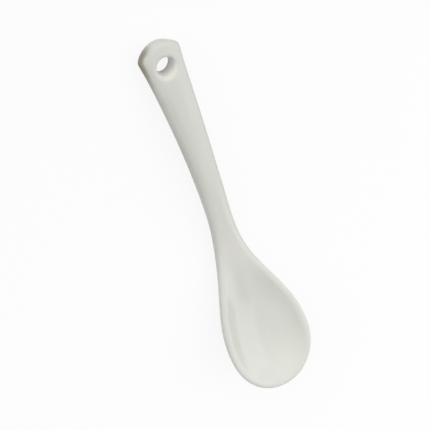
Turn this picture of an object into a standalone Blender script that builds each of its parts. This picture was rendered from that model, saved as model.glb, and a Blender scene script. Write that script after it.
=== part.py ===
"""Porcelain teaspoon with a hanging hole in its handle.

The spoon is one fired piece of porcelain, so the model is one solid. It is drawn with the
bowl's rim level and the tip of the bowl at y = 0, as a loft of cross-sections from tip to
handle end. It is then leaned back until it lies on a table as a real spoon does, on the
bowl and on the end of the handle.

Metres, +Z up, +Y from the bowl towards the handle. The origin is on the table, under the
middle of the spoon.
"""
import bmesh
import bpy
import numpy as np
from mathutils import Matrix, Vector

NAME = "porcelain_teaspoon"

# Plan: the outline seen from above
LENGTH = 0.135
BOWL_WIDTH = 0.02945
BOWL_WIDEST = 0.0183
NECK_WIDTH = 0.00814
NECK_FROM_TIP = 0.0709
END_WIDTH = 0.01443
END_SAG = 0.0030
END_REACH = 0.0140
END_CORNER = 0.0016

# Side view: rise of the handle, thicknesses and depths
RISE_START = 0.0402
RISE_END = 0.0644
RISE_ANGLE = np.radians(19.7)
END_ANGLE = np.radians(1.0)
BOWL_DEPTH = 0.0091
NECK_THICKNESS = 0.0056
END_THICKNESS = 0.0058
END_ROUND = 0.0020
KEEL_END = 0.0660

# Bowl: rim and hollow
WALL = 0.0048
LIP_HEIGHT = 0.0010
LIP_ROUND = 0.0011
LIP_WIDTH = 0.0020
SHALLOW_START = 0.0280
HOLLOW_END = 0.0670
CREST_START = 0.0400

# Hanging hole, pierced straight down through the lying spoon
HOLE_RADIUS = 0.00295
HOLE_FROM_END = 0.0080
HOLE_TOP_FILLET = 0.0015
HOLE_BACK_FILLET = 0.0003

# How deep the two worn flats are, under the bowl and under the handle end
FLAT_DEPTH = 0.00015

# Fullness of the curves: 2 is an ellipse, more is squarer
TIP_FULLNESS = 2.24
HANDLE_FULLNESS = 2.4
HOLLOW_FULLNESS = 2.4
HOLLOW_SOFTNESS = 0.09
SHOULDER_EASE = 1.75
WAIST_EASE = 1.75
WAIST_BIAS = 0.6
FLARE_EASE = 1.65
KEEL_EASE = 2.0

# Mesh density
ACROSS = 20
TIP_RINGS = 12
BODY_RINGS = 48
END_RINGS = 6
HOLE_SIDES = 42
FILLET_STEPS = 6
PROFILE_STEPS = 540
TILT_STEPS = 40
INVERSE_STEPS = 12
MERGE = 1e-7
SHARP_FROM = np.radians(40.0)

# How the hole's cutter stands clear of the handle's faces
CUTTER_LIP_ANGLE = np.radians(16.0)
CUTTER_LIP_WIDTH = 0.0006
CUTTER_OVERLAP = 0.0010


def smoothstep(t):
    """Rise from 0 to 1 that starts and ends level."""
    t = np.clip(t, 0.0, 1.0)
    return t * t * (3.0 - 2.0 * t)


def ease(t, start, end, bias):
    """Rise from 0 to 1 with its own softness at each end."""
    t = np.clip(t, 0.0, 1.0)
    return t ** start / (t ** start + bias * (1.0 - t) ** end)


def arc_drop(t):
    """Height of a quarter circle of radius 1 at t from its centre."""
    return np.sqrt(np.clip(1.0 - t * t, 0.0, 1.0))


def along_handle(y):
    """0 at the neck, 1 at the end of the handle."""
    return np.clip((y - NECK_FROM_TIP) / (LENGTH - NECK_FROM_TIP), 0.0, 1.0)


def half_width(y):
    """Half the spoon's width in plan."""
    ahead = np.clip((BOWL_WIDEST - y) / BOWL_WIDEST, 0.0, 1.0)
    bowl = BOWL_WIDTH / 2 * np.sqrt(1.0 - ahead ** TIP_FULLNESS)
    behind = (y - BOWL_WIDEST) / (NECK_FROM_TIP - BOWL_WIDEST)
    waist = ease(behind, SHOULDER_EASE, WAIST_EASE, WAIST_BIAS)
    taper = BOWL_WIDTH / 2 - (BOWL_WIDTH - NECK_WIDTH) / 2 * waist
    flare = (END_WIDTH - NECK_WIDTH) / 2 * along_handle(y) ** FLARE_EASE
    into_corner = np.clip((y - LENGTH + END_CORNER) / END_CORNER, 0.0, 1.0)
    corner = END_CORNER * (1.0 - arc_drop(into_corner))
    return np.where(y < BOWL_WIDEST, bowl, taper + flare) - corner


def edge_slope(y):
    """Slope of the spoon's widest line: level round the bowl, steep at the neck."""
    rise = RISE_ANGLE * smoothstep((y - RISE_START) / (RISE_END - RISE_START))
    back = np.clip((y - RISE_END) / (LENGTH - RISE_END), 0.0, 1.0)
    return rise + (END_ANGLE - RISE_ANGLE) * back


def edge_height(y):
    """Height of the widest line above the bowl's rim."""
    line = np.linspace(0.0, LENGTH, PROFILE_STEPS + 1)
    grade = np.tan(edge_slope(line))
    climbs = (grade[1:] + grade[:-1]) / 2 * np.diff(line)
    return np.interp(y, line, np.concatenate([[0.0], np.cumsum(climbs)]))


def half_thickness(y):
    """Half the handle's thickness, rounded off at its end."""
    half = (NECK_THICKNESS + (END_THICKNESS - NECK_THICKNESS) * along_handle(y)) / 2
    into_end = np.clip((y - LENGTH + END_ROUND) / END_ROUND, 0.0, 1.0)
    return half * arc_drop(into_end)


def keel_depth(y):
    """Depth of the underside's middle below the widest line."""
    tip = BOWL_DEPTH * half_width(y) / (BOWL_WIDTH / 2)
    half = half_thickness(y)
    behind = (y - BOWL_WIDEST) / (KEEL_END - BOWL_WIDEST)
    rear = half + (BOWL_DEPTH - half) * (1.0 - ease(behind, KEEL_EASE, KEEL_EASE, 1.0))
    return np.where(y < BOWL_WIDEST, tip, rear)


def handle_share(y):
    """0 where the section is a bowl's, 1 where it is the handle's."""
    return smoothstep((y - CREST_START) / (KEEL_END - CREST_START))


def across(x, y):
    """0 on the middle line, 1 on the outline."""
    return np.clip(np.abs(x) / np.maximum(half_width(y), MERGE), 0.0, 1.0)


def underside(x, y):
    """Height of the lower surface."""
    fullness = 2.0 + (HANDLE_FULLNESS - 2.0) * handle_share(y)
    belly = (1.0 - across(x, y) ** fullness) ** (1.0 / fullness)
    return edge_height(y) - keel_depth(y) * belly


def inset(x, y):
    """Distance in plan from the outline, exact near the edge."""
    step = LENGTH / PROFILE_STEPS / 10
    before = np.maximum(y - step, 0.0)
    growth = (half_width(y + step) ** 2 - half_width(before) ** 2) / (y + step - before) / 2
    area = half_width(y) ** 2 - x ** 2
    return area / (2.0 * np.sqrt(growth ** 2 + x ** 2) + MERGE ** 2)


def hollow_share(x, y):
    """1 in the middle of the bowl's hollow, fading softly to 0 past its brim."""
    half = half_width(np.maximum(y, BOWL_WIDEST)) - LIP_WIDTH
    ahead = np.clip((BOWL_WIDEST - y) / (BOWL_WIDEST - LIP_WIDTH), 0.0, None)
    brim = np.sqrt(ahead ** TIP_FULLNESS + (x / np.maximum(half, LIP_ROUND)) ** 2)
    inside = 1.0 - brim ** HOLLOW_FULLNESS
    deepest = 1.0 + np.hypot(1.0, HOLLOW_SOFTNESS)
    return (inside + np.hypot(inside, HOLLOW_SOFTNESS)) / deepest


def hollow_depth(y):
    """Depth of the hollow on the middle line, which leaves the wall under it."""
    crest = LIP_HEIGHT + (half_thickness(y) - LIP_HEIGHT) * handle_share(y)
    full = crest + keel_depth(np.maximum(y, BOWL_WIDEST)) - WALL
    return full * (1.0 - smoothstep((y - SHALLOW_START) / (HOLLOW_END - SHALLOW_START)))


def topside(x, y):
    """Height of the upper surface: a rounded lip and a hollow, or the handle's crown."""
    from_brim = 1.0 - np.clip(inset(x, y) / LIP_ROUND, 0.0, 1.0)
    lip = LIP_HEIGHT * arc_drop(from_brim)
    round_part = (1.0 - across(x, y) ** HANDLE_FULLNESS) ** (1.0 / HANDLE_FULLNESS)
    crest = lip + (half_thickness(y) * round_part - lip) * handle_share(y)
    return edge_height(y) + crest - hollow_depth(y) * hollow_share(x, y)


def stations():
    """Places of the sections along the spoon, closest at its two ends."""
    tip_turn = np.linspace(0.0, np.pi / 2, TIP_RINGS + 1)
    end_turn = np.linspace(0.0, np.pi / 2, END_RINGS + 1)
    tip = BOWL_WIDEST * (1.0 - np.cos(tip_turn))
    body = np.linspace(BOWL_WIDEST, LENGTH - END_ROUND, BODY_RINGS + 1)
    end = LENGTH - END_ROUND + END_ROUND * np.sin(end_turn)
    return np.concatenate([tip, body[1:], end[1:]])


def drawn_point(x, y, surface):
    """Points of the upper or lower surface, with the end's sides swept back into a bow."""
    sag = END_SAG * smoothstep((y - LENGTH + END_REACH) / END_REACH)
    return np.stack([x, y - sag * across(x, y) ** 2, surface(x, y)], axis=-1)


def section(y):
    """One closed ring of points: the underside left to right, then the top back again."""
    share = -np.cos(np.linspace(0.0, np.pi, ACROSS + 1))
    x = share * half_width(y)
    line = np.full_like(x, y)
    lower = drawn_point(x, line, underside)
    upper = drawn_point(x, line, topside)
    return np.concatenate([lower, upper[-2:0:-1]])


def resting_tilt():
    """Angle the spoon leans back until the bowl and the handle end both touch the table."""
    y = np.linspace(0.0, LENGTH, PROFILE_STEPS + 1)
    z = underside(0.0, y)
    is_bowl = y < NECK_FROM_TIP
    least = 0.0
    most = np.pi / 4
    for _ in range(TILT_STEPS):
        tilt = (least + most) / 2
        height = z * np.cos(tilt) - y * np.sin(tilt)
        if height[~is_bowl].min() > height[is_bowl].min():
            least = tilt
        else:
            most = tilt
    return tilt


def laying_matrix(rings):
    """Turns the drawn spoon onto the table, with the origin under its middle."""
    lean = Matrix.Rotation(-resting_tilt(), 4, "X")
    turned = rings.reshape(-1, 3) @ np.array(lean.to_3x3()).T
    middle = (turned[:, 1].min() + turned[:, 1].max()) / 2
    lowest = turned[:, 2].min() + FLAT_DEPTH
    return Matrix.Translation((0.0, -middle, -lowest)) @ lean


def skin_sections(rings):
    """Faces between each ring and the next. The first and last rings close on themselves."""
    bm = bmesh.new()
    loops = [[bm.verts.new(point) for point in ring] for ring in rings]
    for near, far in zip(loops, loops[1:]):
        for i in range(len(near)):
            j = (i + 1) % len(near)
            bm.faces.new((near[i], near[j], far[j], far[i]))
    bmesh.ops.remove_doubles(bm, verts=bm.verts, dist=MERGE)
    bmesh.ops.recalc_face_normals(bm, faces=bm.faces)
    return bm


def grind_flats(bm):
    """Cuts off what lies below the table, which leaves the two flats."""
    everything = bm.verts[:] + bm.edges[:] + bm.faces[:]
    cut = bmesh.ops.bisect_plane(bm, geom=everything, plane_co=(0, 0, 0), plane_no=(0, 0, -1),
                                 clear_outer=True)
    rims = [item for item in cut["geom_cut"] if isinstance(item, bmesh.types.BMEdge)]
    bmesh.ops.holes_fill(bm, edges=rims, sides=0)
    bmesh.ops.recalc_face_normals(bm, faces=bm.faces)


def make_object(name, mesh, collection):
    item = bpy.data.objects.new(name, mesh)
    collection.objects.link(item)
    return item


def make_collection(name):
    group = bpy.data.collections.new(name)
    bpy.context.scene.collection.children.link(group)
    return group


def spoon_body(group, rings, laying):
    bm = skin_sections(rings)
    bm.transform(laying)
    grind_flats(bm)
    mesh = bpy.data.meshes.new("spoon_body")
    bm.to_mesh(mesh)
    bm.free()
    mesh.shade_smooth()
    mesh.set_sharp_from_angle(angle=SHARP_FROM)
    return make_object("spoon_body", mesh, group)


def spool_end(half_height, fillet):
    """Right-hand side of half a spool, from its axis over its brim to its waist."""
    turn = np.linspace(CUTTER_LIP_ANGLE, np.pi / 2, FILLET_STEPS + 1)
    radius = HOLE_RADIUS + fillet * (1.0 - np.sin(turn))
    height = half_height - fillet * (1.0 - np.cos(turn))
    brim = radius[0] + CUTTER_LIP_WIDTH
    brim_height = height[0] + CUTTER_LIP_WIDTH * np.tan(CUTTER_LIP_ANGLE)
    top = brim_height + CUTTER_OVERLAP
    return [(0.0, top), (brim, top), (brim, brim_height)] + list(zip(radius, height))


def spool_profile(half_height):
    """Right-hand side of the spool, top to bottom, that cuts the hole with its two fillets."""
    upper = spool_end(half_height, HOLE_TOP_FILLET)
    lower = spool_end(half_height, HOLE_BACK_FILLET)
    return upper + [(r, -z) for r, z in reversed(lower)]


def turned_mesh(name, profile, group):
    """Mesh of a profile turned about Z by a Screw modifier."""
    outline = bpy.data.meshes.new(name + "_profile")
    points = [(r, 0.0, z) for r, z in profile]
    outline.from_pydata(points, [(i, i + 1) for i in range(len(points) - 1)], [])
    turning = make_object(name + "_profile", outline, group)
    screw = turning.modifiers.new("Turn", "SCREW")
    screw.steps = HOLE_SIDES
    screw.render_steps = HOLE_SIDES
    screw.use_merge_vertices = True
    screw.merge_threshold = MERGE
    bpy.context.view_layer.update()
    evaluated = turning.evaluated_get(bpy.context.evaluated_depsgraph_get())
    mesh = bpy.data.meshes.new_from_object(evaluated)
    bpy.data.objects.remove(turning)
    return mesh


def laid_height(surface, x, table_y, laying):
    """Heights over the table of a drawn surface, above these points of the table."""
    turned = np.array(laying)
    y = table_y - turned[1, 3]
    for _ in range(INVERSE_STEPS):
        laid = drawn_point(x, y, surface) @ turned[:3, :3].T + turned[:3, 3]
        y = y + table_y - laid[:, 1]
    return laid[:, 2]


def mould_to_faces(mesh, half_height, laying):
    """Bends the spool's two ends to the handle's faces, so that the fillets run into them."""
    place = np.array([vertex.co for vertex in mesh.vertices])
    top = laid_height(topside, place[:, 0], place[:, 1], laying) - half_height
    back = laid_height(underside, place[:, 0], place[:, 1], laying) + half_height
    place[:, 2] += np.where(place[:, 2] > 0.0, top, back)
    mesh.vertices.foreach_set("co", place.ravel())


def hole_cutter(group, laying):
    """A spool standing through the handle, whose brims follow the handle's faces."""
    y = LENGTH - HOLE_FROM_END
    centre = laying @ Vector((0.0, y, edge_height(y)))
    mesh = turned_mesh("hole_cutter", spool_profile(half_thickness(y)), group)
    mesh.transform(Matrix.Translation((0.0, centre.y, 0.0)))
    mould_to_faces(mesh, half_thickness(y), laying)
    mesh.name = "hole_cutter"
    cutter = make_object("hole_cutter", mesh, group)
    cutter.hide_render = True
    cutter.display_type = "WIRE"
    return cutter


def pierce(body, cutter):
    cut = body.modifiers.new("Hanging hole", "BOOLEAN")
    cut.operation = "DIFFERENCE"
    cut.solver = "EXACT"
    cut.object = cutter


def glazed_porcelain():
    """White glazed porcelain with a faint warm green-grey."""
    material = bpy.data.materials.new("glazed_porcelain")
    material.use_nodes = True
    shader = material.node_tree.nodes["Principled BSDF"]
    shader.inputs["Base Color"].default_value = (0.66, 0.67, 0.62, 1.0)
    shader.inputs["Roughness"].default_value = 0.12
    shader.inputs["Metallic"].default_value = 0.0
    return material


def build():
    for item in list(bpy.data.objects):
        bpy.data.objects.remove(item)
    parts = make_collection(NAME)
    cutters = make_collection("cutters")
    rings = np.array([section(y) for y in stations()])
    laying = laying_matrix(rings)
    body = spoon_body(parts, rings, laying)
    pierce(body, hole_cutter(cutters, laying))
    body.data.materials.append(glazed_porcelain())


build()
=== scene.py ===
"""Looks of the porcelain teaspoon: a fine glazed mesh, a pale floor, studio light and the camera.

The fine mesh is drawn with the same formulas and sizes as the CAD solid that it stands for.
They are repeated here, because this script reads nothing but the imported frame.

Metres, +Z up, +Y from the bowl towards the handle, the table at z = 0.
"""

import bmesh
import bpy
import numpy as np
from mathutils import Euler, Matrix, Vector


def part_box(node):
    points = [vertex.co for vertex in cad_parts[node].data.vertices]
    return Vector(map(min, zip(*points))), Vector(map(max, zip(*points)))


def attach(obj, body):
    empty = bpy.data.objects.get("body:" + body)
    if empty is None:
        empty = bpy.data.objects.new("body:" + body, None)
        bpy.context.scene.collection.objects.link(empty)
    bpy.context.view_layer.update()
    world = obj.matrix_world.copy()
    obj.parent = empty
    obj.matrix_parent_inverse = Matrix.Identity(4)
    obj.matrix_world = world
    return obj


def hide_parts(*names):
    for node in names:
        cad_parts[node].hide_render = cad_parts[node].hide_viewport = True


# The solid's sizes, as in the CAD source
LENGTH = 0.135
BOWL_WIDTH = 0.02945
BOWL_WIDEST = 0.0183
NECK_WIDTH = 0.00814
NECK_FROM_TIP = 0.0709
END_WIDTH = 0.01443
END_SAG = 0.0030
END_REACH = 0.0140
END_CORNER = 0.0016
RISE_START = 0.0402
RISE_END = 0.0644
RISE_ANGLE = np.radians(19.7)
END_ANGLE = np.radians(1.0)
BOWL_DEPTH = 0.0091
NECK_THICKNESS = 0.0056
END_THICKNESS = 0.0058
END_ROUND = 0.0020
KEEL_END = 0.0660
WALL = 0.0048
LIP_HEIGHT = 0.0010
LIP_ROUND = 0.0011
LIP_WIDTH = 0.0020
SHALLOW_START = 0.0280
HOLLOW_END = 0.0670
CREST_START = 0.0400
HOLE_RADIUS = 0.00295
HOLE_FROM_END = 0.0080
HOLE_TOP_FILLET = 0.0015
HOLE_BACK_FILLET = 0.0003
FLAT_DEPTH = 0.00015
TIP_FULLNESS = 2.24
HANDLE_FULLNESS = 2.4
HOLLOW_FULLNESS = 2.4
HOLLOW_SOFTNESS = 0.09
SHOULDER_EASE = 1.75
WAIST_EASE = 1.75
WAIST_BIAS = 0.6
FLARE_EASE = 1.65
KEEL_EASE = 2.0
PROFILE_STEPS = 540
SLOPE_STEP = LENGTH / PROFILE_STEPS / 10
TILT_STEPS = 40
MERGE = 1e-7

# Fine mesh: quads across each face, rings along the spoon, and rings round the hole
ACROSS = 96
TIP_RINGS = 56
BODY_RINGS = 300
END_RINGS = 16
PATCH_REACH = 0.0056
PATCH_SHARE = 0.78
PATCH_RINGS = 8
FILLET_RINGS = 10
WALL_RINGS = 8
INVERSE_STEPS = 12

# Camera, fitted to the photograph's outline: a long lens with a slight shift
CAMERA_PLACE = (-0.15626, 0.35925, 0.45401)
CAMERA_TURN = (-29.313, -29.951, -18.245)
LENS_MM = 157.2
SENSOR_MM = 36.0
SHIFT_X = 0.0044
SHIFT_Y = 0.0003

# Glaze and clay, in linear colours. The glaze is thickest where pooled; the hole's wall and the
# neck get the lightest colour as painted light
PAINTED_LIGHT_GLAZE = (0.82, 0.813, 0.763)
EDGE_GLAZE = (0.752, 0.758, 0.7)
BODY_GLAZE = (0.714, 0.721, 0.672)
POOLED_GLAZE = (0.703, 0.72, 0.671)
CLOUD_COLOUR = (0.73, 0.733, 0.669)
CLOUD_SHARE = 0.6
SPECK_COLOUR = (0.40, 0.36, 0.29)
SPECK_STRENGTH = 0.35
CLAY_DARK = (0.60, 0.575, 0.52)
CLAY_LIGHT = (0.71, 0.69, 0.64)
GLAZE_ROUGHNESS = (0.11, 0.16)
CLAY_ROUGHNESS = 0.6
GLAZE_IOR = 1.5
SCATTER_SHARE = 0.12
SCATTER_BY_COLOUR = (1.0, 0.85, 0.65)
SCATTER_REACH = 0.0008

# Thickness of the glaze, 1 where it is pooled: how it varies, and where it thins at the edges.
# Below 0 it passes into the colour of painted light, as on the neck here and on the hole's wall
BODY_THICKNESS = 0.4
GLAZE_UNEVEN = 0.12
EDGE_THIN = 0.0012
NECK_PAINTED_LIGHT = 1.6
NECK_PAINTED_LIGHT_AT = 0.0595
NECK_PAINTED_LIGHT_REACH = 0.027

# Heights of the bumps, and where the flats on the table are bare of glaze
SWELL_DEPTH = 0.00004
PEEL_DEPTH = 0.0000012
PIT_DEPTH = 0.00003
CLAY_DEPTH = 0.00002
FLAT_RAGGED = 0.00005
FLAT_BARE_FROM = 0.00005
FLAT_BARE_TO = 0.00008

# Noise, in waves to the metre
STREAK_WAVES = 130.0
CLOUD_WAVES = 55.0
GLOSS_WAVES = 420.0
SWELL_WAVES = 62.0
PEEL_WAVES = 620.0
RAGGED_WAVES = 900.0
GRAIN_WAVES = 5200.0

# Specks and pits: cells to the metre, radius, and share of the cells that hold one
SPECKS = (900.0, 0.00022, 0.012)
PITS = (750.0, 0.00020, 0.015)
DOT_SOFTNESS = 0.5

# Painted shade on the handle's left: a brown painted shade on the edge and end with a paler halo,
# and a weak painted shade along its flank. Insets are shares of half the width
SHADE_HALO = (0.53, 0.53, 0.43)
SHADE_COLOUR = (0.17, 0.105, 0.075)
SHADE_SHARE = 0.9
SHADE_PATCHY = 0.8
SHADE_START = 0.108
SHADE_FULL = 0.136
SHADE_INSET = 0.68
SHADE_END = 0.0023
SHADE_CORNER = 0.15
FLANK_SHADE = 0.32
FLANK_START = 0.076
FLANK_FULL = 0.090
FLANK_FADE = 0.110
FLANK_GONE = 0.126
FLANK_INSET = 0.25

# Studio: the floor, and how strongly it shows shadows where it is seen as white
WHITE = (1.0, 1.0, 1.0, 1.0)
FLOOR_REACH = 3.0
FLOOR_COLOUR = (0.4, 0.4, 0.4)
FLOOR_ROUGHNESS = 0.9
FLOOR_SHADOW = 0.12

# Broad lights of the white studio: azimuth from +X towards +Y, elevation, strength
WORLD_LIGHTS = ((112.5, 12.0, 2.7), (0.0, 50.0, 0.93))
WORLD_FOCUS = 3.0

# Soft lamps round the bowl: azimuth, elevation, distance, side and watts
BOWL_PLACE = (0.0, -0.04, 0.0)
LAMPS = {
    "front_softbox": (337.5, 38.0, 0.42, 0.45, 0.543),
    "left_softbox": (247.5, 38.0, 0.42, 0.45, 0.334),
}


def smoothstep(t):
    """Rise from 0 to 1 that starts and ends level."""
    t = np.clip(t, 0.0, 1.0)
    return t * t * (3.0 - 2.0 * t)


def ease(t, start, end, bias):
    """Rise from 0 to 1 with its own softness at each end."""
    t = np.clip(t, 0.0, 1.0)
    return t ** start / (t ** start + bias * (1.0 - t) ** end)


def arc_drop(t):
    """Height of a quarter circle of radius 1 at t from its centre."""
    return np.sqrt(np.clip(1.0 - t * t, 0.0, 1.0))


def along_handle(y):
    """0 at the neck, 1 at the end of the handle."""
    return np.clip((y - NECK_FROM_TIP) / (LENGTH - NECK_FROM_TIP), 0.0, 1.0)


def half_width(y):
    """Half the spoon's width in plan."""
    ahead = np.clip((BOWL_WIDEST - y) / BOWL_WIDEST, 0.0, 1.0)
    bowl = BOWL_WIDTH / 2 * np.sqrt(1.0 - ahead ** TIP_FULLNESS)
    behind = (y - BOWL_WIDEST) / (NECK_FROM_TIP - BOWL_WIDEST)
    waist = ease(behind, SHOULDER_EASE, WAIST_EASE, WAIST_BIAS)
    taper = BOWL_WIDTH / 2 - (BOWL_WIDTH - NECK_WIDTH) / 2 * waist
    flare = (END_WIDTH - NECK_WIDTH) / 2 * along_handle(y) ** FLARE_EASE
    into_corner = np.clip((y - LENGTH + END_CORNER) / END_CORNER, 0.0, 1.0)
    corner = END_CORNER * (1.0 - arc_drop(into_corner))
    return np.where(y < BOWL_WIDEST, bowl, taper + flare) - corner


def edge_slope(y):
    """Slope of the spoon's widest line: level round the bowl, steep at the neck."""
    rise = RISE_ANGLE * smoothstep((y - RISE_START) / (RISE_END - RISE_START))
    back = np.clip((y - RISE_END) / (LENGTH - RISE_END), 0.0, 1.0)
    return rise + (END_ANGLE - RISE_ANGLE) * back


def edge_height(y):
    """Height of the widest line above the bowl's rim."""
    line = np.linspace(0.0, LENGTH, PROFILE_STEPS + 1)
    grade = np.tan(edge_slope(line))
    climbs = (grade[1:] + grade[:-1]) / 2 * np.diff(line)
    return np.interp(y, line, np.concatenate([[0.0], np.cumsum(climbs)]))


def half_thickness(y):
    """Half the handle's thickness, rounded off at its end."""
    half = (NECK_THICKNESS + (END_THICKNESS - NECK_THICKNESS) * along_handle(y)) / 2
    into_end = np.clip((y - LENGTH + END_ROUND) / END_ROUND, 0.0, 1.0)
    return half * arc_drop(into_end)


def keel_depth(y):
    """Depth of the underside's middle below the widest line."""
    tip = BOWL_DEPTH * half_width(y) / (BOWL_WIDTH / 2)
    half = half_thickness(y)
    behind = (y - BOWL_WIDEST) / (KEEL_END - BOWL_WIDEST)
    rear = half + (BOWL_DEPTH - half) * (1.0 - ease(behind, KEEL_EASE, KEEL_EASE, 1.0))
    return np.where(y < BOWL_WIDEST, tip, rear)


def handle_share(y):
    """0 where the section is a bowl's, 1 where it is the handle's."""
    return smoothstep((y - CREST_START) / (KEEL_END - CREST_START))


def across(x, y):
    """0 on the middle line, 1 on the outline."""
    return np.clip(np.abs(x) / np.maximum(half_width(y), MERGE), 0.0, 1.0)


def underside(x, y):
    """Height of the lower surface."""
    fullness = 2.0 + (HANDLE_FULLNESS - 2.0) * handle_share(y)
    belly = (1.0 - across(x, y) ** fullness) ** (1.0 / fullness)
    return edge_height(y) - keel_depth(y) * belly


def inset(x, y):
    """Distance in plan from the outline, exact near the edge."""
    before = np.maximum(y - SLOPE_STEP, 0.0)
    after = y + SLOPE_STEP
    growth = (half_width(after) ** 2 - half_width(before) ** 2) / (after - before) / 2
    area = half_width(y) ** 2 - x ** 2
    return area / (2.0 * np.sqrt(growth ** 2 + x ** 2) + MERGE ** 2)


def hollow_share(x, y):
    """1 in the middle of the bowl's hollow, fading softly to 0 past its brim."""
    half = half_width(np.maximum(y, BOWL_WIDEST)) - LIP_WIDTH
    ahead = np.clip((BOWL_WIDEST - y) / (BOWL_WIDEST - LIP_WIDTH), 0.0, None)
    brim = np.sqrt(ahead ** TIP_FULLNESS + (x / np.maximum(half, LIP_ROUND)) ** 2)
    inside = 1.0 - brim ** HOLLOW_FULLNESS
    deepest = 1.0 + np.hypot(1.0, HOLLOW_SOFTNESS)
    return (inside + np.hypot(inside, HOLLOW_SOFTNESS)) / deepest


def hollow_depth(y):
    """Depth of the hollow on the middle line, which leaves the wall under it."""
    crest = LIP_HEIGHT + (half_thickness(y) - LIP_HEIGHT) * handle_share(y)
    full = crest + keel_depth(np.maximum(y, BOWL_WIDEST)) - WALL
    return full * (1.0 - smoothstep((y - SHALLOW_START) / (HOLLOW_END - SHALLOW_START)))


def topside(x, y):
    """Height of the upper surface: a rounded lip and a hollow, or the handle's crown."""
    from_brim = 1.0 - np.clip(inset(x, y) / LIP_ROUND, 0.0, 1.0)
    lip = LIP_HEIGHT * arc_drop(from_brim)
    round_part = (1.0 - across(x, y) ** HANDLE_FULLNESS) ** (1.0 / HANDLE_FULLNESS)
    crest = lip + (half_thickness(y) * round_part - lip) * handle_share(y)
    return edge_height(y) + crest - hollow_depth(y) * hollow_share(x, y)


def glaze_and_painted_light(share, y, is_top):
    """How thick the glaze lies: 1 pooled in the hollow, 0 on the edges; at the neck it falls
    below 0, which is painted light.
    """
    x = share * half_width(y)
    edge = 1.0 - smoothstep(inset(x, y) / EDGE_THIN)
    pooled = hollow_share(x, y) * (1.0 - handle_share(y)) if is_top else 0.0
    neck = NECK_PAINTED_LIGHT * smoothstep(1.0 - np.abs(y - NECK_PAINTED_LIGHT_AT) / NECK_PAINTED_LIGHT_REACH)
    return (BODY_THICKNESS * (1.0 - edge) + (1.0 - BODY_THICKNESS) * pooled) * (1.0 - neck)


def painted_shade(share, y):
    """0 to 1: painted warm shade on the handle's left edge and its end, and weakly along its left
    flank.
    """
    along = smoothstep((y - SHADE_START) / (SHADE_FULL - SHADE_START))
    side = along * smoothstep((-share - SHADE_INSET) / (1.0 - SHADE_INSET))
    end = smoothstep((y - LENGTH + SHADE_END) / SHADE_END) * smoothstep(SHADE_CORNER - share)
    ahead = smoothstep((y - FLANK_START) / (FLANK_FULL - FLANK_START))
    behind = smoothstep((FLANK_GONE - y) / (FLANK_GONE - FLANK_FADE))
    inward = smoothstep((-share - FLANK_INSET) / (SHADE_INSET - FLANK_INSET))
    flank = FLANK_SHADE * ahead * behind * inward
    return 1.0 - (1.0 - side) * (1.0 - end) * (1.0 - flank)


def resting_tilt():
    """Angle the spoon leans back until the bowl and the handle end both touch the table."""
    y = np.linspace(0.0, LENGTH, PROFILE_STEPS + 1)
    z = underside(0.0, y)
    is_bowl = y < NECK_FROM_TIP
    least = 0.0
    most = np.pi / 4
    for _ in range(TILT_STEPS):
        tilt = (least + most) / 2
        height = z * np.cos(tilt) - y * np.sin(tilt)
        if height[~is_bowl].min() > height[is_bowl].min():
            least = tilt
        else:
            most = tilt
    return tilt


def stations():
    """Places of the rings along the spoon, closest at its two ends."""
    tip_turn = np.linspace(0.0, np.pi / 2, TIP_RINGS + 1)
    end_turn = np.linspace(0.0, np.pi / 2, END_RINGS + 1)
    tip = BOWL_WIDEST * (1.0 - np.cos(tip_turn))
    body = np.linspace(BOWL_WIDEST, LENGTH - END_ROUND, BODY_RINGS + 1)
    end = LENGTH - END_ROUND + END_ROUND * np.sin(end_turn)
    return np.concatenate([tip, body[1:], end[1:]])


def shares():
    """Places of the points across the spoon, -1 to 1, closest at its edges."""
    return -np.cos(np.linspace(0.0, np.pi, ACROSS + 1))


def drawn_point(share, y, surface):
    """Points of the upper or lower surface as the spoon is drawn, with its rim level."""
    x = share * half_width(y)
    bowed = y - END_SAG * smoothstep((y - LENGTH + END_REACH) / END_REACH) * share ** 2
    return np.stack([x, bowed, surface(x, y)], axis=-1)


def laying_matrix(tip_y):
    """Turns the drawn spoon onto the table, with its first point at tip_y as on the solid."""
    share, y = np.meshgrid(shares(), stations())
    lean = np.array(Matrix.Rotation(-resting_tilt(), 3, "X"))
    turned = drawn_point(share, y, underside) @ lean.T
    matrix = np.eye(4)
    matrix[:3, :3] = lean
    matrix[:3, 3] = (0.0, tip_y - turned[..., 1].min(), -turned[..., 2].min() - FLAT_DEPTH)
    return matrix


class LaidSurface:
    """The upper or the lower surface of the spoon as it lies on the table."""

    def __init__(self, height, laying):
        self.height = height
        self.laying = laying

    def point(self, share, y):
        """Points at these shares of the width and places along the spoon."""
        drawn = drawn_point(share, y, self.height)
        return drawn @ self.laying[:3, :3].T + self.laying[:3, 3]

    def over(self, plan):
        """Shares and places along the spoon of the points that lie over these table points."""
        y = plan[:, 1] - self.laying[1, 3]
        for _ in range(INVERSE_STEPS):
            share = plan[:, 0] / half_width(y)
            y = y + plan[:, 1] - self.point(share, y)[:, 1]
        return share, y


def patch_border(y):
    """Grid places round the hole, as (ring, column) in order, and the patch's corner places."""
    centre = LENGTH - HOLE_FROM_END
    first = int(np.searchsorted(y, centre - PATCH_REACH))
    last = int(np.searchsorted(y, LENGTH - END_ROUND))
    left = int(np.searchsorted(shares(), -PATCH_SHARE))
    right = ACROSS - left
    near = [(first, c) for c in range(left, right)]
    up = [(r, right) for r in range(first, last)]
    far = [(last, c) for c in range(right, left, -1)]
    down = [(r, left) for r in range(last, first, -1)]
    return near + up + far + down, (first, last, left, right)


def circle(centre, radius, turn):
    """Table points round the centre, at these turns from +X."""
    return centre[:2] + radius * np.stack([np.cos(turn), np.sin(turn)], axis=1)


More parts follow.
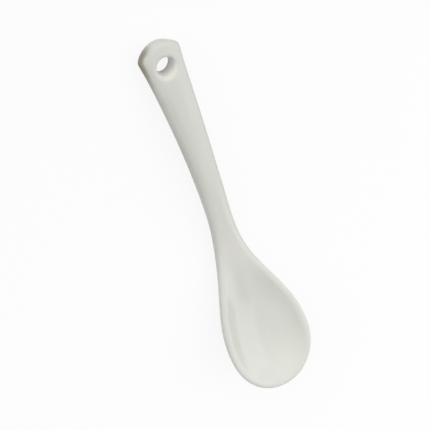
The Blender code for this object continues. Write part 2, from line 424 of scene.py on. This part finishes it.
def patch_rings(surface, border_params, centre, turn, fillet, side):
    """Rings from the patch's border to the hole's wall, each as points, shares and places."""
    border_share, border_y = border_params
    brim = circle(centre, HOLE_RADIUS + fillet, turn)
    brim_share, brim_y = surface.over(brim)
    rings = []
    for step in range(1, PATCH_RINGS + 1):
        part = step / PATCH_RINGS
        share = border_share + (brim_share - border_share) * part
        y = border_y + (brim_y - border_y) * part
        rings.append((surface.point(share, y), share, y))
    for step in range(1, FILLET_RINGS + 1):
        bend = np.pi / 2 * step / FILLET_RINGS
        plan = circle(centre, HOLE_RADIUS + fillet * (1.0 - np.sin(bend)), turn)
        share, y = surface.over(plan)
        point = surface.point(share, y)
        point[:, :2] = plan
        point[:, 2] -= side * fillet * (1.0 - np.cos(bend))
        rings.append((point, share, y))
    return rings


def wall_rings(above, below):
    """Rings of the hole's straight wall, between the last ring of either fillet."""
    steps = [step / WALL_RINGS for step in range(1, WALL_RINGS)]
    return [tuple(a + (b - a) * step for a, b in zip(above, below)) for step in steps]


def spoon_mesh(tip_y):
    """The whole spoon as one closed mesh of quads, with the hanging hole in its own rings."""
    laying = laying_matrix(tip_y)
    top = LaidSurface(topside, laying)
    bottom = LaidSurface(underside, laying)
    y = stations()
    share = shares()
    grid_share, grid_y = np.meshgrid(share, y)
    high = top.point(grid_share, grid_y)
    low = bottom.point(grid_share, grid_y)
    high[:, [0, -1]] = low[:, [0, -1]]
    border, (first, last, left, right) = patch_border(y)
    border_rows = np.array([r for r, _ in border])
    border_columns = np.array([c for _, c in border])
    params = (share[border_columns], y[border_rows])
    hole_y = LENGTH - HOLE_FROM_END
    axis = laying @ np.array([0.0, hole_y, edge_height(hole_y), 1.0])
    outline = (high[border_rows, border_columns] + low[border_rows, border_columns]) / 2
    turn = np.arctan2(outline[:, 1] - axis[1], outline[:, 0])
    upper = patch_rings(top, params, axis, turn, HOLE_TOP_FILLET, 1.0)
    lower = patch_rings(bottom, params, axis, turn, HOLE_BACK_FILLET, -1.0)
    wall = wall_rings(upper[-1], lower[-1])

    bm = bmesh.new()
    # Per vertex: the glaze value, whose part below 0 is painted light, and the painted shade
    layers = [bm.verts.layers.float.new(name) for name in ("glaze", "shade_paint")]

    def new_points(points, *looks):
        """Vertices at these points, with their glaze value and painted shade."""
        made = [bm.verts.new(p) for p in points]
        for layer, values in zip(layers, looks):
            for v, value in zip(made, values):
                v[layer] = value
        return made

    high_glaze_and_light = glaze_and_painted_light(grid_share, grid_y, True)
    low_glaze_and_light = glaze_and_painted_light(grid_share, grid_y, False)
    shade_paint = painted_shade(grid_share, grid_y)
    high_points = [new_points(*row) for row in zip(high, high_glaze_and_light, shade_paint)]
    low_points = [new_points(*row) for row in zip(low, low_glaze_and_light, shade_paint)]
    for r in range(len(y) - 1):
        for c in range(ACROSS):
            if first <= r < last and left <= c < right:
                continue
            for points in (high_points, low_points):
                corners = (points[r][c], points[r][c + 1], points[r + 1][c + 1], points[r + 1][c])
                bm.faces.new(corners)

    # Rings through the hole, where the glaze value falls below 0 over the fillets and is lowest
    # inside: painted light on the hole's wall
    hole_rings = [[high_points[r][c] for r, c in border]]
    rings = upper + wall + lower[::-1]
    for depth, (points, ring_share, ring_y) in enumerate(rings):
        from_face = min(depth + 1, len(rings) - depth) / PATCH_RINGS
        lightened = 1.0 - 2.0 * smoothstep(from_face - 1.0)
        thickness = np.full(len(points), BODY_THICKNESS * lightened)
        hole_rings.append(new_points(points, thickness, painted_shade(ring_share, ring_y)))
    hole_rings.append([low_points[r][c] for r, c in border])
    for ring, following in zip(hole_rings, hole_rings[1:]):
        for i in range(len(ring)):
            j = (i + 1) % len(ring)
            bm.faces.new((ring[i], ring[j], following[j], following[i]))

    # Closed along the edges and at the tip, with the soles of the flats in the table's plane
    unused = [v for v in bm.verts if not v.link_faces]
    bmesh.ops.delete(bm, geom=unused, context="VERTS")
    bmesh.ops.remove_doubles(bm, verts=bm.verts, dist=MERGE)
    for v in bm.verts:
        v.co.z = max(v.co.z, 0.0)
    bmesh.ops.recalc_face_normals(bm, faces=bm.faces)
    mesh = bpy.data.meshes.new("porcelain_spoon")
    bm.to_mesh(mesh)
    bm.free()
    mesh.shade_smooth()
    return mesh


def add_node(tree, kind, values=None, **settings):
    """Adds a shader node with these settings and socket values."""
    node = tree.nodes.new("ShaderNode" + kind)
    for name, value in settings.items():
        setattr(node, name, value)
    for socket, value in (values or {}).items():
        node.inputs[socket].default_value = value
    return node


def add_noise(tree, place, scale, detail=2.0, low=0.3, high=0.7):
    """Soft noise of this many waves to the metre, stretched to run from 0 to 1."""
    noise = add_node(tree, "TexNoise", {"Scale": scale, "Detail": detail})
    tree.links.new(place, noise.inputs["Vector"])
    return add_range(tree, noise.outputs["Fac"], low, high, 0.0, 1.0)


def add_range(tree, value, low, high, to_low, to_high, softness="LINEAR"):
    """Maps low to high onto to_low to to_high."""
    values = {"From Min": low, "From Max": high, "To Min": to_low, "To Max": to_high}
    node = add_node(tree, "MapRange", values, interpolation_type=softness)
    tree.links.new(value, node.inputs["Value"])
    return node.outputs["Result"]


def add_math(tree, first, second, operation="ADD"):
    """Joins two values: their sum, unless another operation is named."""
    node = add_node(tree, "Math", operation=operation)
    tree.links.new(first, node.inputs[0])
    tree.links.new(second, node.inputs[1])
    return node.outputs[0]


def add_mix(tree, factor, first, second):
    """Mixes two colours, each a colour or the output of another mix."""
    node = add_node(tree, "Mix", data_type="RGBA")
    tree.links.new(factor, node.inputs["Factor"])
    for socket, colour in ((node.inputs[6], first), (node.inputs[7], second)):
        if isinstance(colour, tuple):
            socket.default_value = (*colour, 1.0)
        else:
            tree.links.new(colour, socket)
    return node.outputs[2]


def add_specks(tree, place, cells, radius, share):
    """1 in the middle of a few small round specks, 0 between them."""
    dots = add_node(tree, "TexVoronoi", {"Scale": cells, "Randomness": 1.0})
    tree.links.new(place, dots.inputs["Vector"])
    pick = add_node(tree, "SeparateColor")
    tree.links.new(dots.outputs["Color"], pick.inputs["Color"])
    full = radius * cells
    size = add_range(tree, pick.outputs["Red"], 1.0 - share, 1.0, 0.0, full)
    inside = add_math(tree, size, dots.outputs["Distance"], "SUBTRACT")
    return add_range(tree, inside, 0.0, full * DOT_SOFTNESS, 0.0, 1.0, "SMOOTHSTEP")


def add_bump(tree, height, depth, below=None):
    """Raises the surface by height times depth, over the bumps below."""
    node = add_node(tree, "Bump", {"Strength": 1.0, "Distance": depth})
    tree.links.new(height, node.inputs["Height"])
    if below:
        tree.links.new(below, node.inputs["Normal"])
    return node.outputs["Normal"]


def glazed_porcelain():
    """Greenish-white glaze over a fired body, pooled in the hollow and bare on the flats, with
    painted light on the hole's wall and the neck, and painted shade on the handle's left.
    """
    material = bpy.data.materials.new("glazed_porcelain")
    material.use_nodes = True
    tree = material.node_tree
    shader = tree.nodes["Principled BSDF"]
    coord = tree.nodes.new("ShaderNodeTexCoord")
    place = coord.outputs["Object"]
    split = tree.nodes.new("ShaderNodeSeparateXYZ")
    tree.links.new(place, split.inputs[0])

    glaze = add_node(tree, "Attribute", attribute_name="glaze")
    streaks = add_noise(tree, place, STREAK_WAVES, detail=4.0)
    uneven = add_range(tree, streaks, 0.0, 1.0, -GLAZE_UNEVEN, GLAZE_UNEVEN)
    thickness = add_range(tree, add_math(tree, glaze.outputs["Fac"], uneven), 0.0, 1.0, 0.0, 1.0)
    covered = add_range(tree, thickness, 0.0, BODY_THICKNESS, 0.0, 1.0)
    pooled = add_range(tree, thickness, BODY_THICKNESS, 1.0, 0.0, 1.0)
    colour = add_mix(tree, pooled, add_mix(tree, covered, EDGE_GLAZE, BODY_GLAZE), POOLED_GLAZE)
    clouds = add_noise(tree, place, CLOUD_WAVES, detail=3.0)
    clouded = add_range(tree, clouds, 0.0, 1.0, 0.0, CLOUD_SHARE)
    colour = add_mix(tree, clouded, colour, CLOUD_COLOUR)
    # Painted light: where the glaze value is below 0, on the hole's wall and on the neck, the
    # colour is lightened
    painted_light = add_range(tree, glaze.outputs["Fac"], 0.0, -BODY_THICKNESS, 0.0, 1.0)
    colour = add_mix(tree, painted_light, colour, PAINTED_LIGHT_GLAZE)
    # Painted shade on the handle's left edge, end and flank: darker grey-green, deepening to
    # brown at the edge
    shade_paint = add_node(tree, "Attribute", attribute_name="shade_paint")
    patchy = add_range(tree, streaks, 0.0, 1.0, SHADE_PATCHY * SHADE_SHARE, SHADE_SHARE)
    shade_amount = add_math(tree, shade_paint.outputs["Fac"], patchy, "MULTIPLY")
    colour = add_mix(tree, shade_amount, colour, SHADE_HALO)
    deep_shade = add_range(tree, shade_amount, FLANK_SHADE, SHADE_SHARE, 0.0, SHADE_SHARE)
    colour = add_mix(tree, deep_shade, colour, SHADE_COLOUR)
    specks = add_range(tree, add_specks(tree, place, *SPECKS), 0.0, 1.0, 0.0, SPECK_STRENGTH)
    colour = add_mix(tree, specks, colour, SPECK_COLOUR)

    rags = add_noise(tree, place, RAGGED_WAVES)
    ragged = add_range(tree, rags, 0.0, 1.0, 0.0, FLAT_RAGGED)
    height = add_math(tree, split.outputs["Z"], ragged)
    bare = add_range(tree, height, FLAT_BARE_FROM, FLAT_BARE_TO, 1.0, 0.0, "SMOOTHSTEP")
    grains = add_noise(tree, place, GRAIN_WAVES)
    clay = add_mix(tree, grains, CLAY_DARK, CLAY_LIGHT)
    colour = add_mix(tree, bare, colour, clay)
    tree.links.new(colour, shader.inputs["Base Color"])

    sheen = add_noise(tree, place, GLOSS_WAVES, detail=5.0)
    gloss = add_range(tree, sheen, 0.0, 1.0, *GLAZE_ROUGHNESS)
    dull = add_range(tree, bare, 0.0, 1.0, 0.0, CLAY_ROUGHNESS)
    tree.links.new(add_math(tree, gloss, dull), shader.inputs["Roughness"])

    swell = add_noise(tree, place, SWELL_WAVES, detail=1.0, low=0.2, high=0.8)
    normal = add_bump(tree, swell, SWELL_DEPTH)
    normal = add_bump(tree, add_noise(tree, place, PEEL_WAVES, detail=1.0), PEEL_DEPTH, normal)
    pits = add_range(tree, add_specks(tree, place, *PITS), 0.0, 1.0, 1.0, 0.0)
    normal = add_bump(tree, pits, PIT_DEPTH, normal)
    rough = add_math(tree, grains, bare, "MULTIPLY")
    normal = add_bump(tree, rough, CLAY_DEPTH, normal)
    tree.links.new(normal, shader.inputs["Normal"])

    shader.inputs["IOR"].default_value = GLAZE_IOR
    shader.inputs["Subsurface Weight"].default_value = SCATTER_SHARE
    shader.inputs["Subsurface Radius"].default_value = SCATTER_BY_COLOUR
    shader.inputs["Subsurface Scale"].default_value = SCATTER_REACH
    return material


def white_where_seen(tree, lit, white, output):
    """Shows a surface as white to the camera and in reflections, and as it is lit to all else."""
    path = tree.nodes.new("ShaderNodeLightPath")
    seen = path.outputs["Is Camera Ray"]
    for ray in ("Is Glossy Ray", "Is Transmission Ray"):
        add = add_node(tree, "Math", operation="ADD", use_clamp=True)
        tree.links.new(seen, add.inputs[0])
        tree.links.new(path.outputs[ray], add.inputs[1])
        seen = add.outputs[0]
    mix = tree.nodes.new("ShaderNodeMixShader")
    tree.links.new(seen, mix.inputs[0])
    tree.links.new(lit, mix.inputs[1])
    tree.links.new(white, mix.inputs[2])
    tree.links.new(mix.outputs[0], output)


def make_floor():
    """A pale floor that is seen as white, apart from the spoon's shadow."""
    mesh = bpy.data.meshes.new("floor")
    bm = bmesh.new()
    bmesh.ops.create_grid(bm, x_segments=1, y_segments=1, size=FLOOR_REACH)
    bm.to_mesh(mesh)
    bm.free()
    floor = bpy.data.objects.new("floor", mesh)
    bpy.context.scene.collection.objects.link(floor)
    material = bpy.data.materials.new("pale_floor")
    material.use_nodes = True
    tree = material.node_tree
    shader = tree.nodes["Principled BSDF"]
    shader.inputs["Base Color"].default_value = (*FLOOR_COLOUR, 1.0)
    shader.inputs["Roughness"].default_value = FLOOR_ROUGHNESS
    shader.inputs["Specular IOR Level"].default_value = 0.0
    glow = tree.nodes.new("ShaderNodeEmission")
    matt = add_node(tree, "BsdfDiffuse", {"Color": WHITE})
    white = add_node(tree, "MixShader", {0: FLOOR_SHADOW})
    tree.links.new(glow.outputs[0], white.inputs[1])
    tree.links.new(matt.outputs[0], white.inputs[2])
    output = tree.nodes["Material Output"].inputs["Surface"]
    white_where_seen(tree, shader.outputs[0], white.outputs[0], output)
    floor.data.materials.append(material)
    return floor


def direction(azimuth, elevation):
    """Unit vector towards this side and height of the studio."""
    turn = Euler((0.0, -np.radians(elevation), np.radians(azimuth)))
    return turn.to_matrix() @ Vector((1.0, 0.0, 0.0))


def make_world():
    """A white studio, whose light comes mostly and very softly from two sides."""
    world = bpy.data.worlds.new("studio")
    bpy.context.scene.world = world
    world.use_nodes = True
    tree = world.node_tree
    coord = tree.nodes.new("ShaderNodeTexCoord")
    total = None
    for azimuth, elevation, strength in WORLD_LIGHTS:
        way = direction(azimuth, elevation)
        side = add_node(tree, "VectorMath", {1: way}, operation="DOT_PRODUCT")
        tree.links.new(coord.outputs["Generated"], side.inputs[0])
        facing = add_node(tree, "Math", {1: 0.0}, operation="MAXIMUM")
        tree.links.new(side.outputs["Value"], facing.inputs[0])
        focus = add_node(tree, "Math", {1: WORLD_FOCUS}, operation="POWER")
        tree.links.new(facing.outputs[0], focus.inputs[0])
        broad = add_node(tree, "Math", {1: strength}, operation="MULTIPLY")
        tree.links.new(focus.outputs[0], broad.inputs[0])
        total = add_math(tree, total, broad.outputs[0]) if total else broad.outputs[0]
    light = tree.nodes["Background"]
    light.inputs["Color"].default_value = WHITE
    tree.links.new(total, light.inputs["Strength"])
    white = add_node(tree, "Background", {"Color": WHITE})
    output = tree.nodes["World Output"].inputs["Surface"]
    white_where_seen(tree, light.outputs[0], white.outputs[0], output)


def add_softbox(name, azimuth, elevation, distance, side, watts):
    """A square soft lamp that faces the bowl."""
    data = bpy.data.lights.new(name, "AREA")
    data.shape = "SQUARE"
    data.size = side
    data.energy = watts
    lamp = bpy.data.objects.new(name, data)
    way = direction(azimuth, elevation)
    lamp.location = Vector(BOWL_PLACE) + way * distance
    lamp.rotation_euler = (-way).to_track_quat("-Z", "Y").to_euler()
    bpy.context.scene.collection.objects.link(lamp)


def make_camera():
    """The photograph's camera."""
    data = bpy.data.cameras.new("camera")
    data.lens = LENS_MM
    data.sensor_width = SENSOR_MM
    data.shift_x = SHIFT_X
    data.shift_y = SHIFT_Y
    camera = bpy.data.objects.new("camera", data)
    camera.location = CAMERA_PLACE
    camera.rotation_euler = Euler([np.radians(a) for a in CAMERA_TURN])
    bpy.context.scene.collection.objects.link(camera)
    bpy.context.scene.camera = camera


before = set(bpy.data.objects)
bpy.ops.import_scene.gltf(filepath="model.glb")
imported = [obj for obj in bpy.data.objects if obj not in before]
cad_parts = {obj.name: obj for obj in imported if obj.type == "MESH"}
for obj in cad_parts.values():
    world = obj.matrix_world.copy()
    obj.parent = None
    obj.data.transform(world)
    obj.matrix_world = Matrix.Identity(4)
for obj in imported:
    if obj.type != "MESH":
        bpy.data.objects.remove(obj)
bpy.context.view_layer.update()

spoon = bpy.data.objects.new("porcelain_spoon", spoon_mesh(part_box("spoon_body")[0].y))
bpy.context.scene.collection.objects.link(spoon)
spoon.data.materials.append(glazed_porcelain())
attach(spoon, "root")
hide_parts("spoon_body")

make_floor()
make_world()
for lamp_name, lamp_values in LAMPS.items():
    add_softbox(lamp_name, *lamp_values)
make_camera()
bpy.context.scene.view_settings.view_transform = "Standard"
